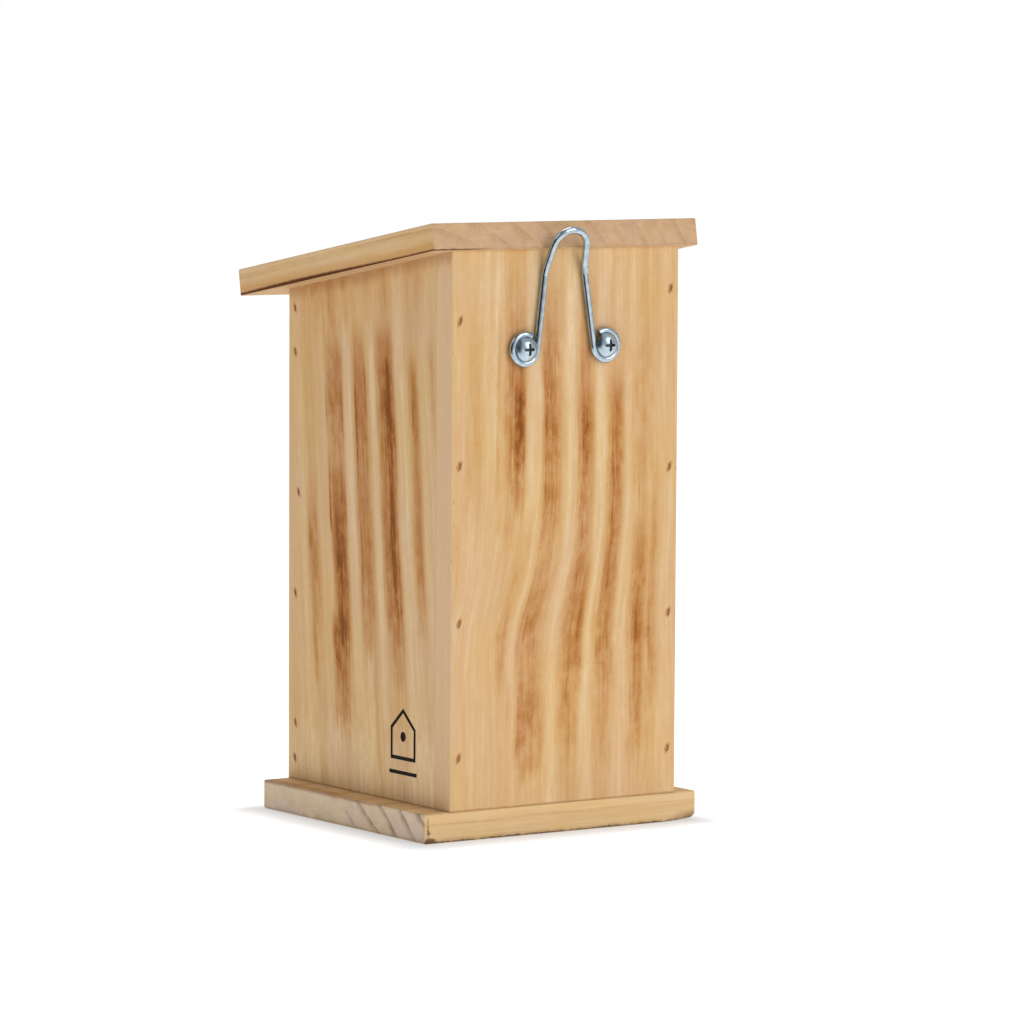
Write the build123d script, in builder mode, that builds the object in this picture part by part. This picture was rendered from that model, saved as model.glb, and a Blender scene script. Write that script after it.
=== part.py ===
"""A small pine nest box on a base board, with a sloping roof and a wire hanger on its back.

Millimetres. The origin is under the middle of the walls, on the surface that the base stands on.
+Z is up, the front with the entrance hole faces -Y, and the hanger is on the +Y side.
"""

from build123d import *
from math import asin, atan2, cos, degrees, radians, sin, sqrt, tan
import os

os.makedirs("parts", exist_ok=True)

# House, measured over the outsides of the walls and up from the base's underside
HOUSE_W = 120.0
HOUSE_D = 132.0
BACK_HEIGHT = 256.0
FRONT_HEIGHT = 234.0
END_BOARD_T = 12.0  # front and back boards
SIDE_BOARD_T = 10.0
ARRIS = 0.5  # rounding of the exposed edges

# Base board, flush with the house at the front and the back
BASE_T = 13.0
BASE_W = 144.6
BASE_SHIFT = 0.7  # nailed on a little towards +X
DRAIN_D = 6.0
DRAIN_SPACING = (56.0, 60.0)

# Roof board, laid on the slope of the walls
ROOF_W = 140.0
ROOF_L = 160.0
ROOF_T = 12.0
ROOF_BACK_OVERHANG = 2.0
ROOF_SHIFT = 0.9  # nailed on a little towards +X

# Front: a fixed upper board, a door on two pivot nails, and a fixed sill board
ENTRANCE_D = 32.0
ENTRANCE_Z = 172.0
ENTRANCE_CHAMFER = 1.0
PIVOT_Z = 97.7
SILL_TOP = 48.0
DOOR_GAP = 1.0
PIVOT_CLEARANCE = 0.08  # radial, between a pivot nail and the door

# Turn button that keeps the door shut, drawn across, which is unlocked
BUTTON_L = 36.0
BUTTON_W = 12.0
BUTTON_T = 6.0
BUTTON_Z = 38.0
BUTTON_PLAY = 0.4
BUTTON_BORE_CLEARANCE = 0.1  # radial, round its screw

# Brads: T-heads set a little below the wood
BRAD_LENGTH = 25.0
BRAD_SHANK = 1.2
BRAD_HEAD_L = 2.9
BRAD_HEAD_W = 1.4
BRAD_HEAD_T = 1.0
BRAD_SET = 0.5
PIVOT_NAIL_D = 1.8

# Where the brads go: distance in from the edge of the board, or height
BACK_NAIL_INSET = 4.3
BACK_NAIL_HEIGHTS_RIGHT = (225.8, 163.2, 95.0, 36.3)
BACK_NAIL_HEIGHTS_LEFT = (237.5, 158.7, 93.9, 33.3)
FRONT_NAIL_PLACES = ((5.3, 225.8), (5.6, 206.2), (8.5, 143.2))
SILL_NAIL_PLACES = ((6.2, 38.9), (5.8, 22.7))
ROOF_NAIL_ROWS = (46.0, 84.0, 116.0)  # down the slope from the back wall, over the side boards
ROOF_NAIL_X = 30.0  # over the front and back boards
BASE_NAIL_ROWS = (-38.0, 0.0, 36.0)
BASE_NAIL_X = 30.0

# Pan-head screws with a cross recess
HEAD_D = 10.6
HEAD_H = 3.3
HEAD_RIM = 0.8
CROSS_L = 5.2
CROSS_W = 1.3
CROSS_DEPTH = 2.0
CROSS_TAPER = 8.0
SCREW_D = 3.8
SCREW_TIP = 3.0
HANGER_SCREW_LENGTH = 14.0
BUTTON_SCREW_LENGTH = 17.0

# Wire hanger: two eyes, two legs that lean together, and an arch bent away from the wall
WIRE_D = 3.1
WIRE_LIFT = 0.05
HANGER_X = 1.8
HANGER_Z = 213.2
HANGER_TILT = 0.94  # degrees, the +X eye lower
EYE_R = 6.35
EYE_SPAN = 21.35  # from the middle of the hanger to each eye
FREE_END = 122.0  # degrees round the eye from its outer side
KINK_U = 10.4
KINK_V = 33.2
KINK_ANGLE = 21.0
KINK_LENGTH = 1.6  # of the bend, each side of the kink
ARCH_TOP = 19.2  # above the kink, along the bent part

# Burnt-in mark low on the +X side: a plain house outline with a round hole over a bar
MARK_Y = 28.8
MARK_W = 20.0
MARK_EAVES_Z = 46.0
MARK_RIDGE_Z = 54.6
MARK_FLOOR_Z = 31.6
MARK_STROKE = 1.7
MARK_HOLE_D = 4.4
MARK_HOLE_Z = 42.0
MARK_BAR_W = 22.0
MARK_BAR_Z = 26.0
MARK_DEPTH = 0.4

BACK_Y = HOUSE_D / 2
FRONT_Y = -BACK_Y
SIDE_X = HOUSE_W / 2
INNER_X = SIDE_X - SIDE_BOARD_T
ROOF_SLOPE = atan2(BACK_HEIGHT - FRONT_HEIGHT, HOUSE_D)
PIVOT_Y = FRONT_Y + END_BOARD_T / 2
UPPER_BOARD_BOTTOM = PIVOT_Z + END_BOARD_T / 2 + DOOR_GAP


def wall_top(y):
    """Height of the roof's underside above a point of the depth."""
    return BACK_HEIGHT - (BACK_Y - y) * tan(ROOF_SLOPE)


# Every fastener goes in along the -Z of its plane. The head's long way is the plane's Y.
def back_plane(x, z):
    return Plane(origin=(x, BACK_Y, z), x_dir=(-1, 0, 0), z_dir=(0, 1, 0))


def side_plane(side, y, z):
    return Plane(origin=(side * SIDE_X, y, z), x_dir=(0, side, 0), z_dir=(side, 0, 0))


def base_plane(x, y):
    return Plane(origin=(x, y, 0), x_dir=(1, 0, 0), z_dir=(0, 0, -1))


roof_plane = Plane(
    origin=(ROOF_SHIFT, BACK_Y, BACK_HEIGHT),
    x_dir=(1, 0, 0),
    z_dir=(0, -sin(ROOF_SLOPE), cos(ROOF_SLOPE)),
)


def roof_nail_plane(x, down_slope):
    place = roof_plane.from_local_coords(Vector(x - ROOF_SHIFT, -down_slope, ROOF_T))
    return Plane(origin=place, x_dir=(1, 0, 0), z_dir=roof_plane.z_dir)


def brad_head(plane, depth):
    with BuildSketch(plane) as head:
        SlotOverall(BRAD_HEAD_L, BRAD_HEAD_W, rotation=90)
    extrude(head.sketch, amount=-depth)


def brads(planes):
    """Square-shanked brads, one down each plane."""
    with BuildPart() as nails:
        for plane in planes:
            brad_head(plane.offset(-BRAD_SET), BRAD_HEAD_T)
            with BuildSketch(plane.offset(-BRAD_SET)):
                Rectangle(BRAD_SHANK, BRAD_SHANK)
            extrude(amount=-BRAD_LENGTH)
    return nails


def nail_holes(nails, planes):
    """What a set of nails takes out of the wood, with the slot that is left over each head."""
    with BuildPart() as holes:
        add(nails.part)
        for plane in planes:
            brad_head(plane, BRAD_SET)
    return holes.part


def pan_screw(seat, length):
    """A screw whose head rests on the seat plane, drawn into the part that is being built."""
    dome_rise = HEAD_H - HEAD_RIM
    dome_r = (dome_rise**2 + (HEAD_D / 2) ** 2) / (2 * dome_rise)
    dome_start = degrees(asin((dome_r - dome_rise) / dome_r))
    with BuildSketch(Plane(origin=seat.origin, x_dir=seat.x_dir, z_dir=-seat.y_dir)) as half:
        with BuildLine():
            CenterArc((0, HEAD_H - dome_r), dome_r, dome_start, 90 - dome_start)
            Polyline(
                (0, HEAD_H),
                (0, -length),
                (SCREW_D / 2, -length + SCREW_TIP),
                (SCREW_D / 2, 0),
                (HEAD_D / 2, 0),
                (HEAD_D / 2, HEAD_RIM),
            )
        make_face()
    revolve(half.sketch, axis=Axis(seat.origin, seat.z_dir))
    with BuildSketch(seat.offset(HEAD_H)) as cross:
        Rectangle(CROSS_L, CROSS_W)
        Rectangle(CROSS_W, CROSS_L)
    extrude(cross.sketch, amount=-CROSS_DEPTH, taper=CROSS_TAPER, mode=Mode.SUBTRACT)


def save(builder, label):
    builder.part.label = label
    export_step(builder.part, f"parts/{label}.step")


# Brads through the back board into the side boards
back_nail_x = SIDE_X - BACK_NAIL_INSET
back_planes_right = [back_plane(back_nail_x, z) for z in BACK_NAIL_HEIGHTS_RIGHT]
back_planes_left = [back_plane(-back_nail_x, z) for z in BACK_NAIL_HEIGHTS_LEFT]
back_nails_right = brads(back_planes_right)
back_nails_left = brads(back_planes_left)
back_holes_right = nail_holes(back_nails_right, back_planes_right)
back_holes_left = nail_holes(back_nails_left, back_planes_left)


# Brads through each side board into the edges of the upper front board and the sill board
def front_edge_planes(side, places):
    return [side_plane(side, FRONT_Y + inset, z) for inset, z in places]


front_planes = {side: front_edge_planes(side, FRONT_NAIL_PLACES) for side in (1, -1)}
front_nails = {side: brads(front_planes[side]) for side in (1, -1)}
front_holes = {side: nail_holes(front_nails[side], front_planes[side]) for side in (1, -1)}
sill_planes = {side: front_edge_planes(side, SILL_NAIL_PLACES) for side in (1, -1)}
sill_nails = {side: brads(sill_planes[side]) for side in (1, -1)}
sill_holes = {side: nail_holes(sill_nails[side], sill_planes[side]) for side in (1, -1)}


def pivot_nail(side):
    """A round nail that the door turns on, with the same head as a brad."""
    plane = side_plane(side, PIVOT_Y, PIVOT_Z)
    with BuildPart() as nail:
        brad_head(plane.offset(-BRAD_SET), BRAD_HEAD_T)
        with BuildSketch(plane.offset(-BRAD_SET)):
            Circle(PIVOT_NAIL_D / 2)
        extrude(amount=-BRAD_LENGTH)
    return nail


pivot_nails = {side: pivot_nail(side) for side in (1, -1)}
pivot_holes = {
    side: nail_holes(pivot_nails[side], [side_plane(side, PIVOT_Y, PIVOT_Z)]) for side in (1, -1)
}

# Brads down through the roof, and up through the base, into the walls
side_board_x = SIDE_X - SIDE_BOARD_T / 2
back_board_y = BACK_Y - END_BOARD_T / 2
roof_planes = [roof_nail_plane(s * side_board_x, down) for s in (1, -1) for down in ROOF_NAIL_ROWS]
for end_board_y in (back_board_y, -back_board_y):
    down_slope = (BACK_Y - end_board_y) / cos(ROOF_SLOPE) - ROOF_T * tan(ROOF_SLOPE) / 2
    roof_planes += [roof_nail_plane(s * ROOF_NAIL_X, down_slope) for s in (1, -1)]
roof_nails = brads(roof_planes)
roof_holes = nail_holes(roof_nails, roof_planes)

base_planes = [base_plane(s * side_board_x, y) for s in (1, -1) for y in BASE_NAIL_ROWS]
base_planes += [base_plane(s * BASE_NAIL_X, y) for s in (1, -1) for y in (back_board_y, -back_board_y)]
base_nails = brads(base_planes)
base_holes = nail_holes(base_nails, base_planes)

# The hanger lies in its own plane: U to the right as seen from behind, V up, and W off the wall
tilt = radians(HANGER_TILT)
hanger_plane = Plane(
    origin=(HANGER_X, BACK_Y, HANGER_Z),
    x_dir=(-cos(tilt), 0, sin(tilt)),
    z_dir=(0, 1, 0),
)
wire_w = WIRE_D / 2 + WIRE_LIFT
head_seat = wire_w + sqrt((WIRE_D / 2) ** 2 - (EYE_R - HEAD_D / 2) ** 2) + WIRE_LIFT


def hanger_screw_seat(side):
    """The plane under a hanger screw's head, over the eye on the +X or the -X side."""
    origin = hanger_plane.from_local_coords(Vector(-side * EYE_SPAN, 0, head_seat))
    return Plane(origin=origin, x_dir=hanger_plane.x_dir, z_dir=(0, 1, 0))


with BuildPart() as hanger_screw_right:
    pan_screw(hanger_screw_seat(1), HANGER_SCREW_LENGTH)

with BuildPart() as hanger_screw_left:
    pan_screw(hanger_screw_seat(-1), HANGER_SCREW_LENGTH)

# The legs leave the eyes on a tangent: lean is their angle to the V axis
eye_to_kink = sqrt((EYE_SPAN - KINK_U) ** 2 + KINK_V**2)
lean = atan2(EYE_SPAN - KINK_U, KINK_V) - asin(EYE_R / eye_to_kink)
kink_angle = radians(KINK_ANGLE)
# The arch is the circle that touches both legs and reaches ARCH_TOP
arch_r = (KINK_U * cos(lean) - ARCH_TOP * sin(lean)) / (1 - sin(lean))
arch_v = ARCH_TOP - arch_r


def bent_point(u, v):
    """A point of the bent part, v along it from the kink."""
    return (u, KINK_V + v * cos(kink_angle), wire_w + v * sin(kink_angle))


def leg_points(side):
    """Where the leg leaves its eye, both ends of the bend, and the start of the arch."""
    eye_tangent = (side * (EYE_SPAN - EYE_R * cos(lean)), -EYE_R * sin(lean), wire_w)
    run_u = KINK_LENGTH * sin(lean)
    run_v = KINK_LENGTH * cos(lean)
    bend_start = (side * (KINK_U + run_u), KINK_V - run_v, wire_w)
    bend_end = bent_point(side * (KINK_U - run_u), run_v)
    arch_start = bent_point(side * arch_r * cos(lean), arch_v + arch_r * sin(lean))
    return eye_tangent, bend_start, bend_end, arch_start


right_eye, right_bend, right_bent, right_arch = leg_points(1)
left_eye, left_bend, left_bent, left_arch = leg_points(-1)
eye_turn = 180 + FREE_END - degrees(lean)

with BuildLine(hanger_plane) as wire_path:
    CenterArc((EYE_SPAN, 0, wire_w), EYE_R, FREE_END, -eye_turn)
    Line(right_eye, right_bend)
    TangentArc(right_bend, right_bent, tangent=(-sin(lean), cos(lean), 0))
    Line(right_bent, right_arch)
    ThreePointArc(right_arch, bent_point(0, ARCH_TOP), left_arch)
    Line(left_arch, left_bent)
    TangentArc(left_bend, left_bent, tangent=(sin(lean), cos(lean), 0))
    Line(left_bend, left_eye)
    CenterArc((-EYE_SPAN, 0, wire_w), EYE_R, -degrees(lean), -eye_turn)

with BuildPart() as hanger_wire:
    for run in wire_path.edges():
        with BuildSketch(Plane(origin=run @ 0, z_dir=run % 0)):
            Circle(WIRE_D / 2)
        sweep(path=run)

# Base board with four drain holes under the nest chamber
with BuildPart() as base_board:
    with BuildSketch():
        with Locations((BASE_SHIFT, 0)):
            Rectangle(BASE_W, HOUSE_D)
    extrude(amount=BASE_T)
    fillet(base_board.edges(), ARRIS)
    with GridLocations(*DRAIN_SPACING, 2, 2):
        Hole(DRAIN_D / 2)
    add(base_holes, mode=Mode.SUBTRACT)

# Back board, full width, its top bevelled to the slope of the roof
with BuildPart() as back_board:
    inner_y = BACK_Y - END_BOARD_T
    with BuildSketch(Plane.YZ.offset(-SIDE_X)):
        with BuildLine():
            Polyline(
                (inner_y, BASE_T),
                (BACK_Y, BASE_T),
                (BACK_Y, wall_top(BACK_Y)),
                (inner_y, wall_top(inner_y)),
                close=True,
            )
        make_face()
    extrude(amount=HOUSE_W)
    fillet(back_board.edges().filter_by(Axis.Z).group_by(Axis.Y)[-1], ARRIS)
    for holes in (back_holes_right, back_holes_left, roof_holes, base_holes):
        add(holes, mode=Mode.SUBTRACT)
    for screw in (hanger_screw_right, hanger_screw_left):
        add(screw.part, mode=Mode.SUBTRACT)

side_profile = (
    (FRONT_Y, BASE_T),
    (BACK_Y - END_BOARD_T, BASE_T),
    (BACK_Y - END_BOARD_T, wall_top(BACK_Y - END_BOARD_T)),
    (FRONT_Y, wall_top(FRONT_Y)),
)

# Side board on +X, with the burnt-in mark
with BuildPart() as side_board_right:
    with BuildSketch(Plane.YZ.offset(INNER_X)):
        with BuildLine():
            Polyline(*side_profile, close=True)
        make_face()
    extrude(amount=SIDE_BOARD_T)
    fillet(side_board_right.edges().filter_by(Axis.Z).group_by(Axis.Y)[0].sort_by(Axis.X)[-1], ARRIS)
    for holes in (back_holes_right, front_holes[1], sill_holes[1], pivot_holes[1], roof_holes, base_holes):
        add(holes, mode=Mode.SUBTRACT)
    with BuildSketch(Plane.YZ.offset(SIDE_X)):
        with BuildLine():
            Polyline(
                (MARK_Y - MARK_W / 2, MARK_FLOOR_Z),
                (MARK_Y + MARK_W / 2, MARK_FLOOR_Z),
                (MARK_Y + MARK_W / 2, MARK_EAVES_Z),
                (MARK_Y, MARK_RIDGE_Z),
                (MARK_Y - MARK_W / 2, MARK_EAVES_Z),
                close=True,
            )
        outline = make_face()
        offset(outline, amount=-MARK_STROKE, mode=Mode.SUBTRACT)
        with Locations((MARK_Y, MARK_HOLE_Z)):
            Circle(MARK_HOLE_D / 2)
        with Locations((MARK_Y, MARK_BAR_Z)):
            Rectangle(MARK_BAR_W, MARK_STROKE)
    extrude(amount=-MARK_DEPTH, mode=Mode.SUBTRACT)

# Side board on -X
with BuildPart() as side_board_left:
    with BuildSketch(Plane.YZ.offset(-SIDE_X)):
        with BuildLine():
            Polyline(*side_profile, close=True)
        make_face()
    extrude(amount=SIDE_BOARD_T)
    fillet(side_board_left.edges().filter_by(Axis.Z).group_by(Axis.Y)[0].sort_by(Axis.X)[0], ARRIS)
    for holes in (back_holes_left, front_holes[-1], sill_holes[-1], pivot_holes[-1], roof_holes, base_holes):
        add(holes, mode=Mode.SUBTRACT)

# Upper front board with the entrance hole
with BuildPart() as front_board:
    front_inner_y = FRONT_Y + END_BOARD_T
    with BuildSketch(Plane.YZ.offset(-INNER_X)):
        with BuildLine():
            Polyline(
                (FRONT_Y, UPPER_BOARD_BOTTOM),
                (front_inner_y, UPPER_BOARD_BOTTOM),
                (front_inner_y, wall_top(front_inner_y)),
                (FRONT_Y, wall_top(FRONT_Y)),
                close=True,
            )
        make_face()
    extrude(amount=2 * INNER_X)
    with BuildSketch(Plane.XZ.offset(-FRONT_Y)):
        with Locations((0, ENTRANCE_Z)):
            Circle(ENTRANCE_D / 2)
    extrude(amount=-END_BOARD_T, mode=Mode.SUBTRACT)
    chamfer(front_board.edges().filter_by(GeomType.CIRCLE), ENTRANCE_CHAMFER)
    for holes in (front_holes[1], front_holes[-1], roof_holes):
        add(holes, mode=Mode.SUBTRACT)

# Turn button's screw, through the button into the sill board
button_origin = (0, FRONT_Y, BUTTON_Z)
button_plane = Plane(origin=button_origin, x_dir=(1, 0, 0), z_dir=(0, -1, 0))

with BuildPart() as button_screw:
    pan_screw(button_plane.offset(BUTTON_T + 2 * BUTTON_PLAY), BUTTON_SCREW_LENGTH)

# Sill board below the door
with BuildPart() as sill_board:
    with Locations((0, FRONT_Y, BASE_T)):
        Box(
            2 * INNER_X,
            END_BOARD_T,
            SILL_TOP - BASE_T,
            align=(Align.CENTER, Align.MIN, Align.MIN),
        )
    for holes in (sill_holes[1], sill_holes[-1], base_holes, button_screw.part):
        add(holes, mode=Mode.SUBTRACT)

# Cleaning door, its top edge rounded about the pivot nails
with BuildPart() as cleaning_door:
    door_half_w = INNER_X - DOOR_GAP
    with BuildSketch(Plane.YZ.offset(-door_half_w)):
        with BuildLine():
            Polyline(
                (FRONT_Y, PIVOT_Z),
                (FRONT_Y, SILL_TOP + DOOR_GAP),
                (FRONT_Y + END_BOARD_T, SILL_TOP + DOOR_GAP),
                (FRONT_Y + END_BOARD_T, PIVOT_Z),
            )
            CenterArc((PIVOT_Y, PIVOT_Z), END_BOARD_T / 2, 0, 180)
        make_face()
    extrude(amount=2 * door_half_w)
    pivot_reach = door_half_w - (SIDE_X - BRAD_SET - BRAD_LENGTH) + DOOR_GAP
    for side in (1, -1):
        with BuildSketch(Plane.YZ.offset(side * door_half_w)):
            with Locations((PIVOT_Y, PIVOT_Z)):
                Circle(PIVOT_NAIL_D / 2 + PIVOT_CLEARANCE)
        extrude(amount=-side * pivot_reach, mode=Mode.SUBTRACT)

# Turn button, a round-ended wooden strip
with BuildPart() as turn_button:
    with BuildSketch(button_plane.offset(BUTTON_PLAY)):
        SlotOverall(BUTTON_L, BUTTON_W)
    extrude(amount=BUTTON_T)
    fillet(turn_button.edges().group_by(Axis.Y)[0], ARRIS)
    with BuildSketch(button_plane.offset(BUTTON_PLAY)):
        Circle(SCREW_D / 2 + BUTTON_BORE_CLEARANCE)
    extrude(amount=BUTTON_T, mode=Mode.SUBTRACT)

# Roof board, sloping down to the front
with BuildPart() as roof_board:
    with BuildSketch(roof_plane):
        with Locations((0, ROOF_BACK_OVERHANG - ROOF_L / 2)):
            Rectangle(ROOF_W, ROOF_L)
    extrude(amount=ROOF_T)
    fillet(roof_board.edges(), ARRIS)
    add(roof_holes, mode=Mode.SUBTRACT)

save(base_board, "base_board")
save(back_board, "back_board")
save(side_board_right, "side_board_right")
save(side_board_left, "side_board_left")
save(front_board, "front_board")
save(sill_board, "sill_board")
save(cleaning_door, "cleaning_door")
save(turn_button, "turn_button")
save(button_screw, "button_screw")
save(roof_board, "roof_board")
save(hanger_wire, "hanger_wire")
save(hanger_screw_right, "hanger_screw_right")
save(hanger_screw_left, "hanger_screw_left")
save(back_nails_right, "back_nails_right")
save(back_nails_left, "back_nails_left")
for side, suffix in ((1, "right"), (-1, "left")):
    save(front_nails[side], f"front_nails_{suffix}")
    save(sill_nails[side], f"sill_nails_{suffix}")
    save(pivot_nails[side], f"pivot_nail_{suffix}")
save(roof_nails, "roof_nails")
save(base_nails, "base_nails")
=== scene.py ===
import math

import bpy
from mathutils import Matrix, Vector, noise


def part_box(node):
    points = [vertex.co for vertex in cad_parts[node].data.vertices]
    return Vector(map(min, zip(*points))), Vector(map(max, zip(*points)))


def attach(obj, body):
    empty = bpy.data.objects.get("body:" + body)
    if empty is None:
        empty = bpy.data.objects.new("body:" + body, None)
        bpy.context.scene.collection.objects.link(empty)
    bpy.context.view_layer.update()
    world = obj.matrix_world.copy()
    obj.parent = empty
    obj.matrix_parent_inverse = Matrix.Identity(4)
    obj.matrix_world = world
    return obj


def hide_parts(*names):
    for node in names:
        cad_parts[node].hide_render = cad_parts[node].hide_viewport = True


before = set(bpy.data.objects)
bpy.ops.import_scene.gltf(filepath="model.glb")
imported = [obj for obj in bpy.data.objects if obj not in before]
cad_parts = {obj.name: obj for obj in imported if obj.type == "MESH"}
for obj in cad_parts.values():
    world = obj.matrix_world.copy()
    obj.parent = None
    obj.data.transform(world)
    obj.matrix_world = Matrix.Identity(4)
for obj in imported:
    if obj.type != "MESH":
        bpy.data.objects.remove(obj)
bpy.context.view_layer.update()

# Millimetres are easier to read in the grain than metres
MM = 0.001
PER_METRE = 1000.0
X_AXIS, Y_AXIS, Z_AXIS = (1.0, 0.0, 0.0), (0.0, 1.0, 0.0), (0.0, 0.0, 1.0)
WHITE, BLACK = (1.0, 1.0, 1.0), (0.0, 0.0, 0.0)


# ---------------------------------------------------------------------------------------------
# Node arithmetic
# ---------------------------------------------------------------------------------------------
class Num:
    """A number that a node tree works out, written as plain arithmetic."""

    def __init__(self, graph, socket):
        self.graph = graph
        self.socket = socket

    def __add__(self, other):
        return self.graph.math("ADD", self, other)

    def __sub__(self, other):
        return self.graph.math("SUBTRACT", self, other)

    def __rsub__(self, other):
        return self.graph.math("SUBTRACT", other, self)

    def __mul__(self, other):
        return self.graph.math("MULTIPLY", self, other)

    def __abs__(self):
        return self.graph.math("ABSOLUTE", self)

    def clamp(self):
        return self.graph.math("ADD", self, 0.0, clamp=True)


class Graph:
    """The node tree of a material or a world. Any input may be a number, a colour, a socket or
    a Num."""

    def __init__(self, owner):
        owner.use_nodes = True
        self.owner = owner
        self.tree = owner.node_tree
        self.tree.nodes.clear()

    def node(self, kind, inputs=None, **settings):
        made = self.tree.nodes.new("ShaderNode" + kind)
        for key, value in settings.items():
            setattr(made, key, value)
        for key, value in (inputs or {}).items():
            self.feed(made.inputs[key], value)
        return made

    def feed(self, socket, value):
        value = getattr(value, "socket", value)
        if isinstance(value, bpy.types.NodeSocket):
            self.tree.links.new(value, socket)
        elif socket.type == "RGBA" and len(value) == 3:
            socket.default_value = (*value, 1.0)
        else:
            socket.default_value = value

    def math(self, operation, *values, clamp=False):
        made = self.node("Math", dict(enumerate(values)), operation=operation, use_clamp=clamp)
        return Num(self, made.outputs[0])

    def larger(self, a, b):
        return self.math("MAXIMUM", a, b)

    def hypot(self, a, b):
        return self.math("SQRT", a * a + b * b)

    def vector_math(self, operation, *vectors):
        return self.node("VectorMath", dict(enumerate(vectors)), operation=operation).outputs

    def object_axes(self):
        """The point's X, Y and Z in the frame, in millimetres."""
        place = self.node("TexCoord").outputs["Object"]
        split = self.node("SeparateXYZ", {0: place})
        return [Num(self, out) * PER_METRE for out in split.outputs]

    def faces(self, direction, low=0.6, high=0.8):
        """1 where the surface faces along a direction of the frame, either way, and 0 where it
        faces across it. Low and high are the cosines between which it changes."""
        normal = self.node("TexCoord").outputs["Normal"]
        cosine = Num(self, self.vector_math("DOT_PRODUCT", normal, direction)["Value"])
        return self.step(abs(cosine), low, high)

    def noise(self, x, y, z, scale=1.0, detail=3.0, roughness=0.5):
        """Noise about 0, from about -0.5 to 0.5, of a place that is given in waves."""
        made = self.node(
            "TexNoise",
            {
                "Vector": self.node("CombineXYZ", {0: x, 1: y, 2: z}).outputs[0],
                "Scale": scale,
                "Detail": detail,
                "Roughness": roughness,
            },
        )
        return Num(self, made.outputs["Fac"]) - 0.5

    def step(self, value, low, high):
        """0 below low and 1 above high, smooth between. With low over high it runs the other
        way."""
        made = self.node(
            "MapRange",
            {"Value": value, "From Min": low, "From Max": high},
            interpolation_type="SMOOTHSTEP",
        )
        return Num(self, made.outputs["Result"])

    def band(self, value, low, high, soft_low, soft_high):
        """1 between low and high, with an edge of its own softness at each end."""
        rise = self.step(value, low - soft_low, low + soft_low)
        fall = self.step(value, high + soft_high, high - soft_high)
        return rise * fall

    def mix(self, factor, a, b, blend="MIX"):
        made = self.node("Mix", data_type="RGBA", blend_type=blend)
        self.feed(made.inputs["Factor"], factor)
        colours = [s for s in made.inputs if s.type == "RGBA"]
        self.feed(colours[0], a)
        self.feed(colours[1], b)
        return next(s for s in made.outputs if s.type == "RGBA")

    def ramp(self, factor, stops, interpolation="LINEAR"):
        made = self.node("ValToRGB", {"Fac": factor})
        made.color_ramp.interpolation = interpolation
        elements = made.color_ramp.elements
        while len(elements) < len(stops):
            elements.new(0.5)
        for element, (position, colour) in zip(elements, stops):
            element.position = position
            element.color = (*colour, 1.0)
        return made.outputs["Color"]

    def finish(self, colour, roughness, bump=None, height=0.0, others=None):
        """Ends the tree in a Principled shader. Height is the bump's, in millimetres."""
        inputs = {"Base Color": colour, "Roughness": roughness, **(others or {})}
        shader = self.node("BsdfPrincipled", inputs)
        if bump is not None:
            relief = self.node("Bump", {"Height": bump, "Distance": height * MM})
            self.feed(shader.inputs["Normal"], relief.outputs["Normal"])
        self.node("OutputMaterial", {"Surface": shader.outputs["BSDF"]})
        return self.owner


def new_material(name):
    return Graph(bpy.data.materials.new(name))


def srgb(red, green, blue):
    """A colour given as on a screen, 0 to 255, in the linear values that shaders take."""

    def linear(value):
        value /= 255.0
        return value / 12.92 if value <= 0.04045 else ((value + 0.055) / 1.055) ** 2.4

    return tuple(linear(value) for value in (red, green, blue))


# ---------------------------------------------------------------------------------------------
# Measures that the boards share, in millimetres
# ---------------------------------------------------------------------------------------------
BACK_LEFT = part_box("back_board")[1].x * PER_METRE
SIDE_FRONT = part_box("side_board_right")[0].y * PER_METRE
JOINT_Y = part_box("side_board_right")[1].y * PER_METRE
FRONT_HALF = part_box("front_board")[1].x * PER_METRE
ROOF_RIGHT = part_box("roof_board")[1].x * PER_METRE
# Half the walls' width
WALL_HALF = 60.0

# The back board's top edge, which the roof's underside touches, and the roof's rise over its run
BACK_FACE, BACK_HEIGHT = 66.0, 256.0
ROOF_RISE, ROOF_RUN = 22.0, 132.0
SLOPE = math.atan2(ROOF_RISE, ROOF_RUN)
SLOPE_COS, SLOPE_SIN = math.cos(SLOPE), math.sin(SLOPE)
# How far the roof's underside lies from the origin, square to the slope
ROOF_SKIN = BACK_HEIGHT * SLOPE_COS - BACK_FACE * SLOPE_SIN


# ---------------------------------------------------------------------------------------------
# Flamed pine
# ---------------------------------------------------------------------------------------------
# The wood's colours, from the palest to the most scorched
FLAMED = (
    (0.00, srgb(237, 207, 163)),
    (0.06, srgb(228, 195, 149)),
    (0.145, srgb(221, 183, 135)),
    (0.27, srgb(214, 171, 117)),
    (0.40, srgb(206, 157, 104)),
    (0.545, srgb(194, 139, 84)),
    (0.70, srgb(180, 119, 60)),
    (0.85, srgb(156, 94, 40)),
    (1.00, srgb(136, 78, 30)),
)
# Dark fibres, and also the colour of the painted shade under the roof's eaves
DARK_FIBRE_AND_SHADE = srgb(150, 98, 52)
NAIL_STAIN = srgb(144, 88, 40)
EDGE_PALE = srgb(229, 197, 164)
# Slow tints that the wood is multiplied by
YELLOW = (1.0, 0.985, 0.90)
PINK = (0.995, 0.985, 1.03)
TINT_EDGES = (-0.16, 0.16)
WOOD_GLOSS = 0.14
FLAMED_ROUGHNESS, FLAMED_RELIEF = 0.66, 0.2

# The shade of plain wood, what a cream band takes from it, what each noise adds to it, and
# their sum's scale along the colours
PLAIN_SHADE = 0.188
CREAM_GAIN = 0.10
FINE_SHADE, COARSE_SHADE, PATCH_SHADE, MOTTLE_SHADE = 0.27, 0.30, 0.18, 0.13
SHADE_SCALE = 0.85
# How patchy the streaks' strength is
BURN_PATCH, BURN_FINE = 1.45, 0.8
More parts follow.
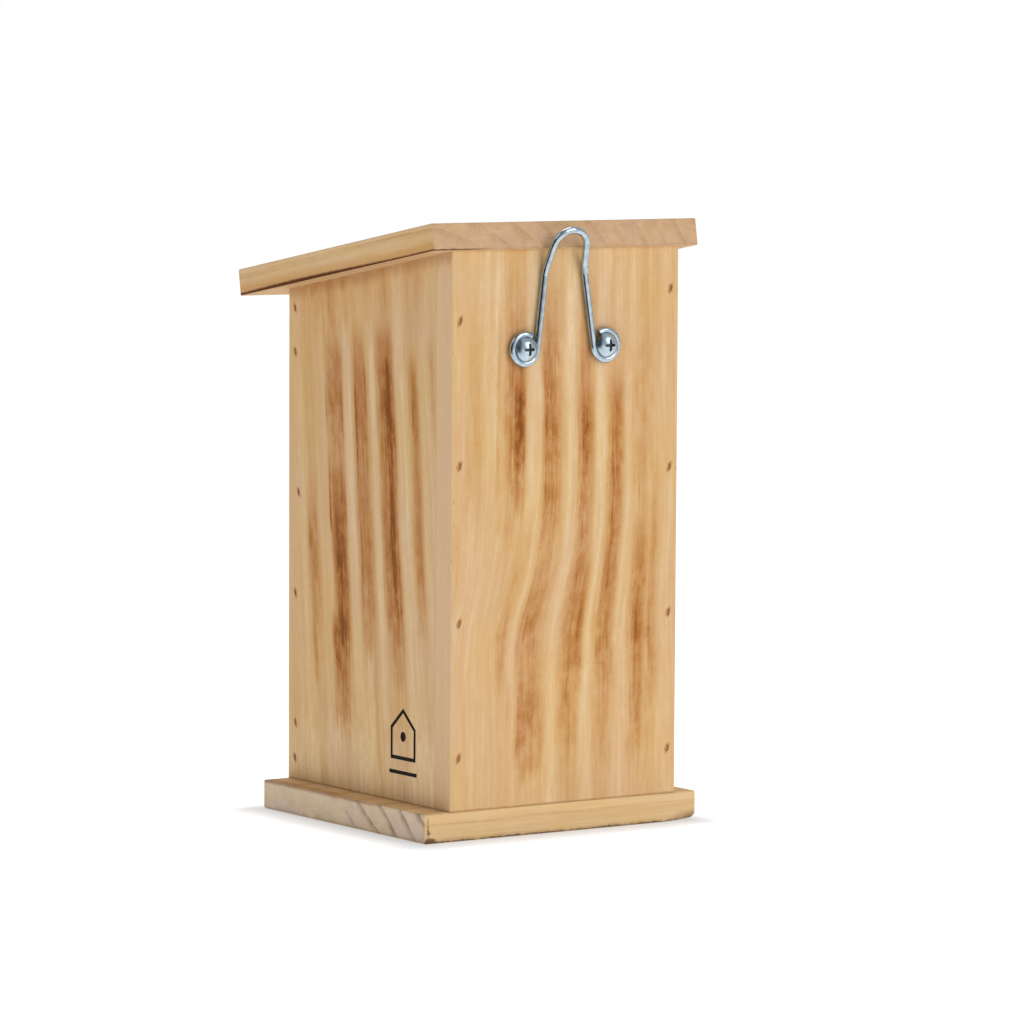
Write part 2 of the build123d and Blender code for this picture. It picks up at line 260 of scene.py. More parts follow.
# How far noise moves the streaks' edges across the grain, and their ends up it, in millimetres
WANDER_ACROSS, FINE_ACROSS = 3.2, 1.5
PATCH_UP, FINE_UP = 14.0, 16.0
# The height that the whole of a streak's profile spans, in millimetres
CURVE_HEIGHT = 260.0

THREAD_EDGES, THREAD_SHADE = (0.20, 0.36), 0.26
DASH_EDGES, DASH_SHADE = (0.29, 0.37), 0.5
# How far from the middle of a board its nicked edges start, and where they are full
NICKED_EDGES, NICKED_GAIN = (53.0, 59.0), 0.10
# The painted shade under the roof's eaves, and the dark lines at the walls' foot and at the
# joints: the distances in millimetres at which each fades and is full, and how dark it is
EAVES_EDGES, EAVES_SHADE = (7.5, 0.5), 0.5
FOOT_EDGES, FOOT_SHADE = (14.0, 13.2), 0.5
JOINT_EDGES, JOINT_SHADE = (0.55, 0.1), 0.12
# How far noise moves those lines' edges, in millimetres
EAVES_RAGGED, FOOT_RAGGED, JOINT_RAGGED = 7.0, 0.8, 0.3

# Vertices further apart than this up the board belong to different brads
ROW_GAP = 4.0
# The stains round the brads' heads: where they fade and where they are full in millimetres, how
# far they lean, how little height counts in the distance, how dark they are, and how far noise
# moves them
STAIN_REACH = (1.75, 0.7)
STAIN_LEAN = 0.3
STAIN_SQUASH = 0.3
STAIN_SHADE = 0.6
STAIN_RAGGED = 1.5


def profile(g, along, points):
    """How strong a streak is at each height: points are (height in mm, strength)."""
    stops = [(height / CURVE_HEIGHT, (value, value, value)) for height, value in points]
    return Num(g, g.ramp(along * (1.0 / CURVE_HEIGHT), stops, "EASE"))


def flames(g, across, along, streaks, soften):
    """The scorched streaks. Each is (low, high, soft low, soft high, points): its two edges
    across the grain, how soft each is, and its strength up the board as profile takes it.
    Soften widens the soft edges of them all."""
    total = None
    for low, high, soft_low, soft_high, points in streaks:
        strength = profile(g, along, points)
        streak = g.band(across, low, high, soft_low * soften, soft_high * soften) * strength
        total = streak if total is None else g.larger(total, streak)
    return total


def head_middles(node):
    """The middle of each brad in a node of upright rows of them, in millimetres."""
    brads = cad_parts[node]
    places = [brads.matrix_world @ vertex.co * PER_METRE for vertex in brads.data.vertices]
    places.sort(key=lambda place: place.z)
    rows = [[places[0]]]
    for place in places[1:]:
        if place.z - rows[-1][-1].z > ROW_GAP:
            rows.append([])
        rows[-1].append(place)
    return [sum(row, Vector()) / len(row) for row in rows]


def nail_stains(g, position, axis, nodes):
    """How much the wood is stained round the brads' heads: small leaning ovals."""
    total = None
    for node in nodes:
        for middle in head_middles(node):
            rise = position[2] - middle.z
            lean = position[axis] - middle[axis] + rise * STAIN_LEAN
            reach = g.math("SQRT", lean * lean + rise * rise * STAIN_SQUASH)
            stain = g.step(reach, *STAIN_REACH)
            total = stain if total is None else g.larger(total, stain)
    return total


def tinted(g, wood, tone):
    """The wood with a slow change between a pinker and a yellower tint."""
    return g.mix(1.0, wood, g.mix(g.step(tone, *TINT_EDGES), PINK, YELLOW), "MULTIPLY")


def dark_lines(g, position, seam, edge, coarse, patch):
    """The thin dark lines at the foot of a board and at its joints, and the painted shade that
    stands in for the roof's shadow along the top of the edges."""
    x, y, z = position
    below_roof = y * SLOPE_SIN - z * SLOPE_COS + ROOF_SKIN
    # Painted shade: the edges that face along X are darkened below the roof, as its shadow
    painted_eaves_shade = g.step(below_roof + coarse * EAVES_RAGGED, *EAVES_EDGES) * edge * EAVES_SHADE
    foot = g.step(z + patch * FOOT_RAGGED, *FOOT_EDGES) * FOOT_SHADE
    inset = seam(g, x, y, z) + coarse * JOINT_RAGGED
    joint = g.step(inset, *JOINT_EDGES) * (coarse * 0.8 + JOINT_SHADE)
    return g.larger(g.larger(foot, joint), painted_eaves_shade).clamp()


def flamed_pine(
    name, across, depth, seam, streaks, creams, seed, gain, soften, edge_pale=0.0, nails=None,
    mark=None,
):
    """Planed upright pine, flamed so that the late wood is brown. Across turns the frame's axes
    into millimetres across the grain and depth into the board, and seam gives the distance in
    from the joint with the next board. Streaks are the scorched bands, some of them painted
    shade under the eaves, and creams the pale ones between them, one of them partly painted
    light at the foot. Gain is how dark the streaks are, soften how soft, and edge_pale how pale
    the edges that face along X. Nails is (the axis across which they lie, their nodes), and
    mark gives how burnt the wood is at a place."""
    g = new_material(name)
    x, y, z = g.object_axes()
    s = across(g, x, y, z)
    d = depth(g, x, y, z)
    fine = g.noise(s * 0.9 + seed, d * 0.9, z * 0.035, detail=2.0, roughness=0.65)
    coarse = g.noise(s * 0.26 + seed, d * 0.26, z * 0.012, detail=2.0)
    patch = g.noise(s * 0.24 + seed, d * 0.2, z * 0.11, detail=4.0, roughness=0.66)
    wander = g.noise(s * 0.03 + seed, d * 0.03, z * 0.022, detail=1.0)
    mottle = g.noise(s * 0.8, d * 0.8, z * 0.5 + seed, detail=2.0, roughness=0.7)
    tone = g.noise(s * 0.035 - seed, d * 0.03, z * 0.016, detail=1.0)

    bent = s + wander * WANDER_ACROSS + fine * FINE_ACROSS
    high = z + patch * PATCH_UP + fine * FINE_UP
    strength = patch * BURN_PATCH + fine * BURN_FINE + gain
    burn = flames(g, bent, high, streaks, soften) * strength
    cream = flames(g, bent, high, creams, soften)
    texture = fine * FINE_SHADE + coarse * COARSE_SHADE
    texture = texture + patch * PATCH_SHADE + mottle * MOTTLE_SHADE
    shade = ((burn + texture + cream * -CREAM_GAIN + PLAIN_SHADE) * SHADE_SCALE).clamp()
    wood = tinted(g, g.ramp(shade, FLAMED), tone)

    threads = g.step(fine + coarse * 0.35, *THREAD_EDGES)
    wood = g.mix(threads * THREAD_SHADE, wood, DARK_FIBRE_AND_SHADE)
    edge = g.faces(X_AXIS)
    nicked = g.step(abs(x), *NICKED_EDGES) * (1.0 - edge) * NICKED_GAIN
    dashes = g.noise(s * 1.3 - seed, d * 1.3, z * 0.20, detail=1.0) + nicked
    wood = g.mix(g.step(dashes, *DASH_EDGES) * DASH_SHADE, wood, DARK_FIBRE_AND_SHADE)
    wood = g.mix(edge * edge_pale * (coarse * 2.5 + 1.0).clamp(), wood, EDGE_PALE)
    # The dark lines include the painted shade under the roof's eaves
    wood = g.mix(dark_lines(g, (x, y, z), seam, edge, coarse, patch), wood, DARK_FIBRE_AND_SHADE)
    if nails:
        stains = nail_stains(g, (x, y, z + fine * STAIN_RAGGED), *nails)
        wood = g.mix(stains * (mottle * 0.8 + STAIN_SHADE), wood, NAIL_STAIN)
    if mark:
        wood = g.mix(mark(g, x, y, z), wood, BURNT)
    relief = fine * 0.6 + burn * -0.25
    gloss = {"Specular IOR Level": WOOD_GLOSS}
    return g.finish(wood, FLAMED_ROUGHNESS, relief, FLAMED_RELIEF, gloss)


# ---------------------------------------------------------------------------------------------
# The boards' own streaks, in millimetres across and up each board, as flames takes them
# ---------------------------------------------------------------------------------------------
BACK_STREAKS = (
    (10, 16, 3, 3, ((130, 0), (155, 0.2), (200, 0.18), (225, 0.1), (245, 0))),
    (24, 25.5, 0.8, 1.5, ((140, 0), (165, 0.26), (212, 0.3), (235, 0))),
    (28, 39, 2, 1.5, (
        (112, 0), (140, 0.16), (160, 0.34), (182, 0.55), (202, 0.5), (220, 0.28), (250, 0.14),
    )),
    (32, 38.5, 1.6, 1, ((128, 0), (150, 0.34), (170, 0.78), (190, 0.92), (206, 0.5), (226, 0.2))),
    (36, 43, 2.5, 2, ((40, 0.05), (65, 0.2), (90, 0.36), (104, 0.32), (130, 0.2), (150, 0))),
    (48, 57, 2, 3.5, (
        (52, 0), (70, 0.4), (95, 0.52), (125, 0.34), (150, 0.54), (180, 0.62), (210, 0.58),
        (232, 0.3), (252, 0.06),
    )),
    (48, 52, 1.5, 3, ((140, 0), (155, 0.62), (180, 0.76), (205, 0.72), (225, 0.3), (240, 0))),
    (48, 58.5, 1.5, 3, ((18, 0.02), (34, 0.28), (52, 0.5), (70, 0.44), (90, 0))),
    (48, 50.5, 1.0, 2, ((24, 0.1), (42, 0.62), (56, 0.72), (68, 0.5), (82, 0))),
    (67.5, 74.5, 2.5, 2, (
        (28, 0.18), (50, 0.38), (75, 0.52), (95, 0.62), (115, 0.54), (140, 0.52), (162, 0.62),
        (182, 0.74), (196, 0.48), (225, 0.28), (248, 0.05),
    )),
    (71.5, 77.5, 2.5, 1.5, ((58, 0), (80, 0.58), (96, 0.7), (112, 0.42), (130, 0))),
    (83.5, 91, 2, 1.5, (
        (22, 0.12), (44, 0.25), (66, 0.3), (80, 0.52), (115, 0.57), (150, 0.5), (172, 0.58),
        (190, 0.46), (204, 0.15), (230, 0),
    )),
    (99, 105, 2.2, 2, (
        (24, 0.1), (44, 0.34), (66, 0.52), (90, 0.7), (112, 0.58), (128, 0.46), (142, 0.2),
        (180, 0.24), (215, 0.1),
    )),
    (106, 110, 2, 2, ((36, 0.1), (60, 0.3), (90, 0.5), (112, 0.34), (135, 0.26), (165, 0.1))),
    (96, 107, 4, 4, ((140, 0), (165, 0.22), (205, 0.2), (235, 0))),
)
BACK_CREAMS = (
    (19, 24, 2, 1.5, ((150, 0.2), (180, 0.8), (240, 0.6))),
    (38.6, 45.8, 0.8, 1.2, ((40, 0), (80, 0.6), (150, 1.0), (215, 1.0), (245, 0.7))),
    (59, 66.5, 2, 1.5, ((40, 0.2), (90, 0.4), (160, 0.8), (240, 1.0))),
    (76.5, 82, 1, 1, ((30, 0.3), (70, 0.8), (180, 0.9), (240, 0.8))),
    (92.5, 97, 1.5, 1.5, ((40, 0.3), (100, 0.4), (150, 0.5), (220, 0.2))),
)
SIDE_STREAKS = (
    (11, 14, 2, 2.5, (
        (52, 0), (70, 0.48), (95, 0.5), (112, 0.5), (126, 0.7), (140, 0.25), (152, 0),
    )),
    (12.5, 19, 2, 2.5, ((62, 0.1), (96, 0.22), (112, 0.45), (134, 0.38), (160, 0.14), (200, 0.1))),
    (31, 42.5, 2.5, 1.8, (
        (64, 0), (84, 0.75), (104, 0.72), (118, 0.78), (134, 0.62), (150, 0.54), (162, 0.32),
        (176, 0.36), (190, 0.52), (206, 0.4), (222, 0.08), (236, 0),
    )),
    (28, 40, 2.5, 3, ((34, 0.05), (50, 0.38), (66, 0.55), (82, 0.82), (98, 0))),
    (33, 40, 2, 3, ((64, 0), (80, 0.9), (92, 0.82), (104, 0.6), (116, 0.92), (126, 0.3))),
    (29.5, 31.5, 0.8, 1.5, (
        (120, 0), (138, 0.74), (152, 0.6), (168, 0.2), (186, 0.5), (204, 0.2),
    )),
    (41, 43.5, 1.5, 1, ((120, 0), (140, 0.72), (158, 0.3), (184, 0.7), (200, 0.6), (216, 0.1))),
    (53, 63.5, 2, 2, (
        (68, 0), (84, 0.3), (104, 0.46), (130, 0.46), (158, 0.42), (178, 0.54), (196, 0.52),
        (210, 0.34), (226, 0.05),
    )),
    (53.8, 55.8, 0.8, 1.2, (
        (66, 0), (80, 0.3), (108, 0.56), (124, 0.68), (144, 0.4), (168, 0.76), (190, 0.78),
        (206, 0.4), (220, 0),
    )),
    (60.5, 63, 1.5, 1, (
        (80, 0.2), (96, 0.52), (120, 0.4), (160, 0.3), (180, 0.7), (200, 0.68), (214, 0),
    )),
    (73, 85.5, 3, 1.4, (
        (62, 0.1), (84, 0.38), (100, 0.56), (114, 0.62), (140, 0.6), (156, 0.54), (176, 0.72),
        (200, 0.68), (212, 0.46), (228, 0.06),
    )),
    (77, 83.5, 3.5, 2, (
        (50, 0.1), (72, 0.34), (92, 0.52), (110, 0.88), (136, 0.95), (154, 0.74), (166, 0.8),
        (186, 1.0), (202, 0.9), (216, 0.2),
    )),
    (98, 104.5, 2.5, 2, (
        (80, 0), (98, 0.28), (122, 0.46), (142, 0.42), (166, 0.34), (184, 0.54), (200, 0.46),
        (214, 0.1),
    )),
    (99, 101.5, 1, 1.5, ((170, 0), (184, 0.66), (196, 0.52), (208, 0.1))),
    (114, 119, 2, 2, ((170, 0), (190, 0.16), (206, 0.2), (222, 0))),
    # The last four are painted shade: dark bands at the top of the side, under the roof's eaves
    (21, 29, 3, 3, ((205, 0), (222, 0.1), (236, 0.24))),
    (45, 51, 2, 2, ((214, 0), (230, 0.12), (246, 0.26))),
    (65, 70.5, 2, 2, ((218, 0), (234, 0.14), (250, 0.28))),
    (104, 112, 3, 3, ((218, 0), (236, 0.1), (254, 0.16))),
)
SIDE_CREAMS = (
    (2, 10, 2, 2, ((20, 0.3), (120, 0.3), (220, 0.2))),
    (45, 51, 0.8, 0.8, ((40, 0.3), (110, 0.9), (170, 0.9), (215, 0.5), (226, 0))),
    (66, 71, 1, 1, ((60, 0.6), (120, 0.9), (200, 0.8), (220, 0.4), (230, 0))),
    (87.5, 96, 1, 2, ((20, 0.6), (60, 1.0), (120, 1.0), (170, 0.6), (225, 0.7))),
    (108, 128, 3, 3, ((20, 1.0), (90, 1.0), (130, 0.8), (180, 0.4))),
    (55, 62, 2, 2, ((10, 0.6), (40, 1.0), (62, 0.4), (80, 0))),
    # Paler at the side's foot, where the wood is unflamed, and paler still as painted light from
    # the floor
    (-20, 150, 5, 5, ((16, 1.5), (32, 1.2), (52, 0))),
)
LEFT_STREAKS = (
    (14, 24, 1.5, 2, ((60, 0), (90, 0.5), (150, 0.6), (200, 0.3), (225, 0))),
    (36, 46, 1.2, 2, ((40, 0.1), (80, 0.7), (120, 0.75), (160, 0.3), (200, 0.5), (220, 0))),
    (58, 67, 1.5, 1.5, ((50, 0), (110, 0.4), (170, 0.8), (205, 0.6), (225, 0))),
    (79, 91, 2, 1.2, ((55, 0.1), (95, 0.8), (140, 0.85), (185, 0.5), (215, 0))),
    (103, 110, 1.5, 2, ((90, 0), (130, 0.35), (190, 0.45), (220, 0))),
)
FRONT_STREAKS = (
    (12, 21, 1.5, 2, ((30, 0), (60, 0.4), (110, 0.6), (150, 0.35), (200, 0.5), (225, 0))),
    (33, 42, 1.2, 1.5, ((20, 0), (70, 0.7), (120, 0.5), (170, 0.75), (205, 0.4), (225, 0))),
    (53, 60, 1.5, 1.2, ((20, 0.1), (60, 0.35), (100, 0.65), (160, 0.5), (210, 0.2))),
    (72, 83, 1.5, 2, ((30, 0), (80, 0.75), (125, 0.8), (165, 0.4), (195, 0.6), (220, 0))),
    (95, 103, 1.5, 2, ((40, 0), (90, 0.45), (150, 0.5), (210, 0.1))),
)
PLAIN_CREAMS = (
    (25, 31, 1, 1.5, ((20, 0.6), (120, 1.0), (220, 0.6))),
    (47, 52, 1, 1.5, ((20, 0.6), (120, 1.0), (220, 0.6))),
    (92, 98, 1, 1.5, ((20, 0.6), (120, 1.0), (220, 0.6))),
)


# The back board's grain swings over towards +X below its middle: by how much, between which
# heights, how much less it does so per millimetre across the board from where, and the share
# that is left at the +X edge, up to how far in
SWING, SWING_HEIGHTS = 12.5, (152.0, 84.0)
SWING_MIDDLE, SWING_CHANGE = 42.0, 0.16
SWING_AT_EDGE, SWING_EDGE_WIDTH = 0.45, 34.0
# It bulges back a little where it does so, between heights that have soft ends
BULGE, BULGE_MIDDLE, BULGE_CHANGE = 4.0, 45.0, 0.07
BULGE_HEIGHTS, BULGE_SOFT = (100.0, 122.0), (30.0, 22.0)
# The other boards' grain leans: the height at which it counts as straight, and the slope
RIGHT_LEAN, LEFT_LEAN, FRONT_LEAN = (200.0, 0.085), (120.0, 0.05), (120.0, 0.03)


# How each board's grain, depth and joints lie: every one of these functions takes the graph
# and a point's X, Y and Z in the frame, in millimetres
def back_across(g, x, y, z):
    """Distance from the +X edge, straightened where the grain swings over low on the board."""
    s = BACK_LEFT - x
    edge_hold = g.step(s, 0.0, SWING_EDGE_WIDTH) * (1.0 - SWING_AT_EDGE) + SWING_AT_EDGE
    reach = SWING - (s - SWING_MIDDLE) * SWING_CHANGE
    swing = s + reach * g.step(z, *SWING_HEIGHTS) * edge_hold
    bulge = g.band(z, *BULGE_HEIGHTS, *BULGE_SOFT)
    return swing - (BULGE - (swing - BULGE_MIDDLE) * BULGE_CHANGE) * bulge


def right_across(g, x, y, z):
    """Distance from the front edge, straightened along the grain's lean."""
    height, slope = RIGHT_LEAN
    return (y - SIDE_FRONT) + (z - height) * slope


def left_across(g, x, y, z):
    height, slope = LEFT_LEAN
    return (y - SIDE_FRONT) + (z - height) * slope


def front_across(g, x, y, z):
    """Distance from where the walls' -X side is, straightened likewise."""
    height, slope = FRONT_LEAN
    return x - (z - height) * slope + WALL_HALF


def along_x(g, x, y, z):
    return x


def along_y(g, x, y, z):
    return y


def in_from_side(g, x, y, z):
    """In from the joint between the back board and the side boards, on the back board."""
    return y - JOINT_Y


def in_from_back(g, x, y, z):
    """In from the same joint, on a side board."""
    return abs(y - JOINT_Y)


def in_from_front_edge(g, x, y, z):
    return FRONT_HALF - abs(x)


# The block in which the right side's recessed mark is burnt, in millimetres
MARK_SKIN, MARK_SKIN_SOFT = (59.0, 59.85), (0.03, 0.03)
MARK_ACROSS, MARK_UP, MARK_SOFT = (14.0, 44.0), (22.0, 60.0), (1.0, 1.0)
BURNT = srgb(26, 14, 8)


def burnt_mark(g, x, y, z):
    """How charred the wood is: fully, in the recess of the mark."""
    skin = g.band(x, *MARK_SKIN, *MARK_SKIN_SOFT)
    place = g.band(y, *MARK_ACROSS, *MARK_SOFT) * g.band(z, *MARK_UP, *MARK_SOFT)
    char = g.noise(x, y, z, scale=0.9, detail=2.0)
    return skin * place * (char * 0.3 + 1.1).clamp()


pine_back = flamed_pine(
    "pine_back", back_across, along_y, in_from_side, BACK_STREAKS, BACK_CREAMS, seed=3.0,
    gain=0.93, soften=1.5, edge_pale=0.5, nails=(0, ("back_nails_right", "back_nails_left")),
)
pine_right = flamed_pine(
    "pine_side_right", right_across, along_x, in_from_back, SIDE_STREAKS, SIDE_CREAMS, seed=17.0,
    gain=1.04, soften=1.25, mark=burnt_mark,
    nails=(1, ("front_nails_right", "sill_nails_right", "pivot_nail_right")),
)
pine_left = flamed_pine(
    "pine_side_left", left_across, along_x, in_from_back, LEFT_STREAKS, PLAIN_CREAMS, seed=31.0,
    gain=0.92, soften=1.5,
    nails=(1, ("front_nails_left", "sill_nails_left", "pivot_nail_left")),
)
pine_front = flamed_pine(
    "pine_front", front_across, along_y, in_from_front_edge, FRONT_STREAKS, PLAIN_CREAMS,
    seed=47.0, gain=0.92, soften=1.5,
)


# ---------------------------------------------------------------------------------------------
# Sawn pine, on the roof and the base
# ---------------------------------------------------------------------------------------------
ROOF_FACE = ((0.0, srgb(234, 200, 156)), (0.5, srgb(222, 184, 134)), (1.0, srgb(192, 144, 90)))
ROOF_ENDS = ((0.0, srgb(226, 190, 150)), (0.5, srgb(207, 169, 131)), (1.0, srgb(184, 134, 94)))
BASE_FACE = ((0.0, srgb(240, 208, 160)), (0.5, srgb(228, 190, 138)), (1.0, srgb(190, 142, 88)))
BASE_ENDS = ((0.0, srgb(236, 214, 188)), (0.5, srgb(221, 198, 171)), (1.0, srgb(164, 138, 114)))
SCORCHED = srgb(84, 46, 20)
# Scorch and stain on the roof's lower edges, also painted shadow where the roof meets the walls
ROOF_STAIN_AND_SHADOW = srgb(94, 48, 16)
HONEY = (0.85, 0.68, 0.46)
# Grime on the base's lower edges, also the colour of the painted shade on the roof's underside
GRIME_AND_SHADE = srgb(112, 84, 58)
FLAME_BROWN = srgb(158, 104, 58)
# Where in a growth ring, from 0 to 1, its dark late wood comes in and goes out
LATE_IN, LATE_OUT = (0.55, 0.94), (1.0, 0.95)
# Over how many millimetres across the board the rings come in
RING_FADE = 22.0
SAWN_ROUGHNESS, SAWN_RELIEF = 0.68, 0.25


def sawn_pine(
    name, axes, grain, face_colours, end_colours, pith, ring, phase, ring_shade, ring_start,
    saw_shade, saw_slope, seed,
):
    """An unflamed board. Axes gives millimetres across, along and through the board; grain is
    the direction of its fibres, and on the ends that face along it the growth rings show, as
    circles about the pith, ring millimetres apart. Ring_start is where across the board they
    start to show, and saw_slope is how the saw's marks lean."""
    g = new_material(name)
    s, t, d = axes(*g.object_axes())
    fine = g.noise(s * 1.0 + seed, d * 1.0, t * 0.03, detail=3.0, roughness=0.6)
    coarse = g.noise(s * 0.22 + seed, d * 0.35, t * 0.012, detail=2.0)
    blotch = g.noise(s * 0.12 + seed, d * 0.12, t * 0.12, detail=3.0)
    wobble = g.noise(s * 0.05 + seed, d * 0.05, t * 0.006, detail=2.0) * 5.0
    pores = g.noise(s * 1.4 + seed, d * 1.4, t * 0.4, detail=2.0, roughness=0.7)
    tone = g.noise(s * 0.06 - seed, d * 0.1, t * 0.02, detail=2.0)

    radius = g.hypot(s - pith[0], d - pith[1]) + wobble
    turn = g.math("FRACT", radius * (1.0 / ring) + phase)
    late = g.step(turn, *LATE_IN) * g.step(turn, *LATE_OUT)
    face = (late * 0.30 + fine * 0.55 + coarse * 0.7 + blotch * 0.3 + 0.28).clamp()
    saw = g.math("SINE", (s * saw_slope + d) * 4.0 + coarse * 9.0) * saw_shade
    shown = g.step(s, ring_start, ring_start + RING_FADE) * ring_shade + 0.06
    cut = late * shown + pores * 0.5 + saw + blotch * 0.8 + coarse * 0.5 + 0.38
    is_end = g.faces(grain)
    wood = g.mix(is_end, g.ramp(face, face_colours), g.ramp(cut.clamp(), end_colours))
    relief = fine * 0.5 + is_end * (pores * 0.7 + saw)
    return g, (s, t, d), tinted(g, wood, tone), relief, is_end


def finish_sawn(g, wood, relief):
    gloss = {"Specular IOR Level": WOOD_GLOSS}
    return g.finish(wood, SAWN_ROUGHNESS, relief, SAWN_RELIEF, gloss)


def roof_axes(x, y, z):
    """Across from the +X edge, up the slope, and through from the underside."""
    up_slope = y * SLOPE_COS + z * SLOPE_SIN
    through = z * SLOPE_COS - y * SLOPE_SIN - ROOF_SKIN
    return ROOF_RIGHT - x, up_slope, through


# On the roof's sides, in millimetres up from the underside: where the honey-brown lower half
# fades and is full, and the same for the scorched line along the lower edge, drawn thick as
# painted shadow between roof and wall, which is thicker between two places along the slope, with
# soft ends, and starts in a span along it
HONEY_EDGES, HONEY_SHADE = (7.0, 2.5), 0.8
SCORCH_SHADOW_EDGES, SCORCH_SHADOW_THICK = (1.5, 0.3), 0.9
SCORCH_SHADOW_ALONG, SCORCH_SHADOW_ALONG_SOFT, SCORCH_SHADOW_START = (-40.0, 45.0), (40.0, 45.0), (-90.0, -50.0)
# On its ends: the stained lower edge, darkened as painted shadow of the gap to the back wall, and
# how far from the +X edge it is darker
END_EDGES, END_CORNER = (1.1, 0.4), (34.0, 14.0)
# The underside's painted shade: the cosines at which it counts, its depth, and how dark it is
UNDERSIDE_COSINES, UNDERSIDE_DEPTH, UNDERSIDE_SHADE = (0.8, 0.9), (1.0, 0.2), 0.32


def roof_pine():
    g, (s, t, d), wood, relief, is_end = sawn_pine(
        "pine_roof", roof_axes, (0.0, SLOPE_COS, SLOPE_SIN), ROOF_FACE, ROOF_ENDS,
        pith=(-18.0, -70.0), ring=9.5, phase=0.3, ring_shade=0.13, ring_start=-40.0,
        saw_shade=0.12, saw_slope=0.85, seed=5.0,
    )
    is_side = g.faces(X_AXIS)
    wander = g.noise(t * 0.02, s * 0.01, 0.0, detail=2.0) * 5.0
    low_half = g.step(d + wander, *HONEY_EDGES) * is_side
    wood = g.mix(low_half * HONEY_SHADE, wood, HONEY, "MULTIPLY")
    # Scorched lower edge on the sides and stained one on the ends, both thickened as painted
    # shadow where the roof meets the walls
    ragged = g.noise(t * 0.25, s * 0.25, 0.0, detail=2.0) * 0.7
    thick = g.band(t, *SCORCH_SHADOW_ALONG, *SCORCH_SHADOW_ALONG_SOFT) * SCORCH_SHADOW_THICK
    burn = g.step(d + ragged - thick, *SCORCH_SHADOW_EDGES) * is_side * g.step(t, *SCORCH_SHADOW_START)
    stain = g.step(d + ragged, *END_EDGES) * is_end * (g.step(s, *END_CORNER) * 0.7 + 0.2)
    wood = g.mix((burn + stain).clamp(), wood, ROOF_STAIN_AND_SHADOW)
    # Painted shade on the underside, where the floor's light would otherwise brighten it
    is_under = g.faces((0.0, -SLOPE_SIN, SLOPE_COS), *UNDERSIDE_COSINES)
    under = is_under * g.step(d, *UNDERSIDE_DEPTH)
    wood = g.mix(under * UNDERSIDE_SHADE, wood, GRIME_AND_SHADE)
    return finish_sawn(g, wood, relief)


def base_axes(x, y, z):
    """From the front edge, along the board, and up from its underside."""
    return y - SIDE_FRONT, x, z


# The base's lower edges, in millimetres up from the underside: a soft band of grime, a ragged
# dark line in it, and the battered part towards the back's -X corner
GRIME_EDGES, LINE_EDGES = (2.4, 0.3), (1.05, 0.45)
BATTERED_ALONG, BATTERED_EDGES, BATTERED_SHADE = (-58.0, -69.0), (5.5, 1.5), 0.55
# The back's upright +X edge: where its dark line lies along the board, the distances from it at
# which it fades and is full, and the heights; and the middle of the knock mark at its foot
UPRIGHT_PLACE, UPRIGHT_EDGES, UPRIGHT_HEIGHTS = 71.0, (0.45, 0.0), (12.0, 10.0)
KNOCK_ALONG, KNOCK_UP, KNOCK_STRETCH, KNOCK_EDGES = 69.8, 1.4, 0.45, (1.7, 0.7)
# The flame has browned the top's outer strip on the +X side and the ends' upper edges, towards
# the front: the places along the board and the distances from the front edge
STRIP_ALONG, STRIP_FRONT, STRIP_SHADE = (66.5, 69.5), (84.0, 50.0), 0.42
TOP_LINE_EDGES, TOP_LINE_FRONT, TOP_LINE_SHADE = (11.2, 12.6), (100.0, 84.0), 0.6


def base_pine():
    g, (s, t, d), wood, relief, is_end = sawn_pine(
        "pine_base", base_axes, X_AXIS, BASE_FACE, BASE_ENDS,
        pith=(-10.0, -125.0), ring=10.5, phase=0.35, ring_shade=0.42, ring_start=62.0,
        saw_shade=0.03, saw_slope=0.9, seed=11.0,
    )
    ragged = g.noise(t * 0.16, s * 0.16, d * 0.1, detail=3.0, roughness=0.7)
    specks = g.noise(t * 0.45, s * 0.45, d * 0.6, detail=2.0)
    is_back = g.faces(Y_AXIS, 0.3, 0.7)
    low = g.step(d + ragged * 3.0, *GRIME_EDGES)
    wood = g.mix(low * (is_back * 0.08 + 0.3), wood, GRIME_AND_SHADE)
    line = g.step(d + ragged * 1.8 + specks * 1.6, *LINE_EDGES)
    wood = g.mix(line * (is_back * 0.62 + 0.12), wood, SCORCHED)
    battered = g.step(t, *BATTERED_ALONG) * g.step(d + ragged * 3.0, *BATTERED_EDGES)
    wood = g.mix(battered * is_back * BATTERED_SHADE, wood, SCORCHED)

    thick = g.step(ragged, -0.15, 0.2) * 0.5 + 0.15
    upright = g.step(abs(t + ragged * 4.0 - UPRIGHT_PLACE) - thick, *UPRIGHT_EDGES)
    upright = upright * g.step(d + specks * 6.0, *UPRIGHT_HEIGHTS)
    upright = upright * (specks * 1.2 + 0.55).clamp()
    knock = g.hypot((t - KNOCK_ALONG) * KNOCK_STRETCH, d - KNOCK_UP) + ragged * 2.0
    corner = g.larger(upright, g.step(knock, *KNOCK_EDGES) * 0.8)
    wood = g.mix(corner * is_back, wood, SCORCHED)

    strip = g.faces(Z_AXIS) * g.step(t, *STRIP_ALONG) * g.step(s + ragged * 30.0, *STRIP_FRONT)
    wood = g.mix(strip * STRIP_SHADE, wood, FLAME_BROWN)
    top_line = g.step(d + ragged * 1.2, *TOP_LINE_EDGES) * is_end
    wood = g.mix(top_line * g.step(s, *TOP_LINE_FRONT) * TOP_LINE_SHADE, wood, FLAME_BROWN)
    return finish_sawn(g, wood, relief)


pine_roof = roof_pine()
pine_base = base_pine()


# ---------------------------------------------------------------------------------------------
# Metal
# ---------------------------------------------------------------------------------------------
ZINC = ((0.3, srgb(156, 172, 184)), (0.7, srgb(188, 202, 211)))
DULL_STEEL = ((0.3, srgb(178, 120, 68)), (0.7, srgb(208, 150, 92)))
